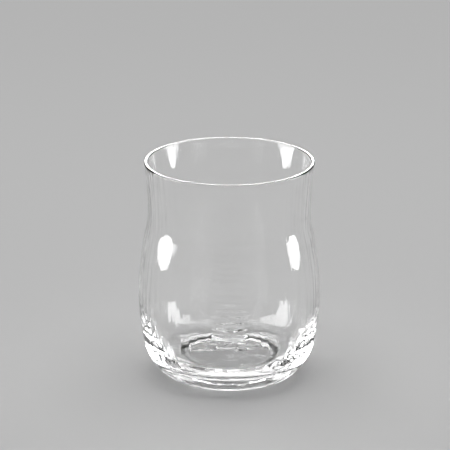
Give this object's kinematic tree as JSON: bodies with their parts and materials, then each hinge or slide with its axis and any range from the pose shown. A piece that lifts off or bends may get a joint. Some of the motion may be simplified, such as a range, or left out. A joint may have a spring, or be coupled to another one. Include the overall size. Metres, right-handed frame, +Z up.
{
  "type": "whiskey tumbler",
  "caption": "Low tulip tumbler of clear blown glass with a flared lip, a narrow waist, a full belly, a thick base and a domed foot.",
  "frame": {"origin": "centre of the foot, on the table", "axes": "+Z up along the axis of revolution; X and Y are any two level directions"},
  "size_m": [0.082, 0.082, 0.1],
  "materials": {
    "glass": "clear fire-polished glass"
  },
  "bodies": {
    "root": {"base": "glass", "bowl": "glass", "lip": "glass"}
  },
  "joints": []
}
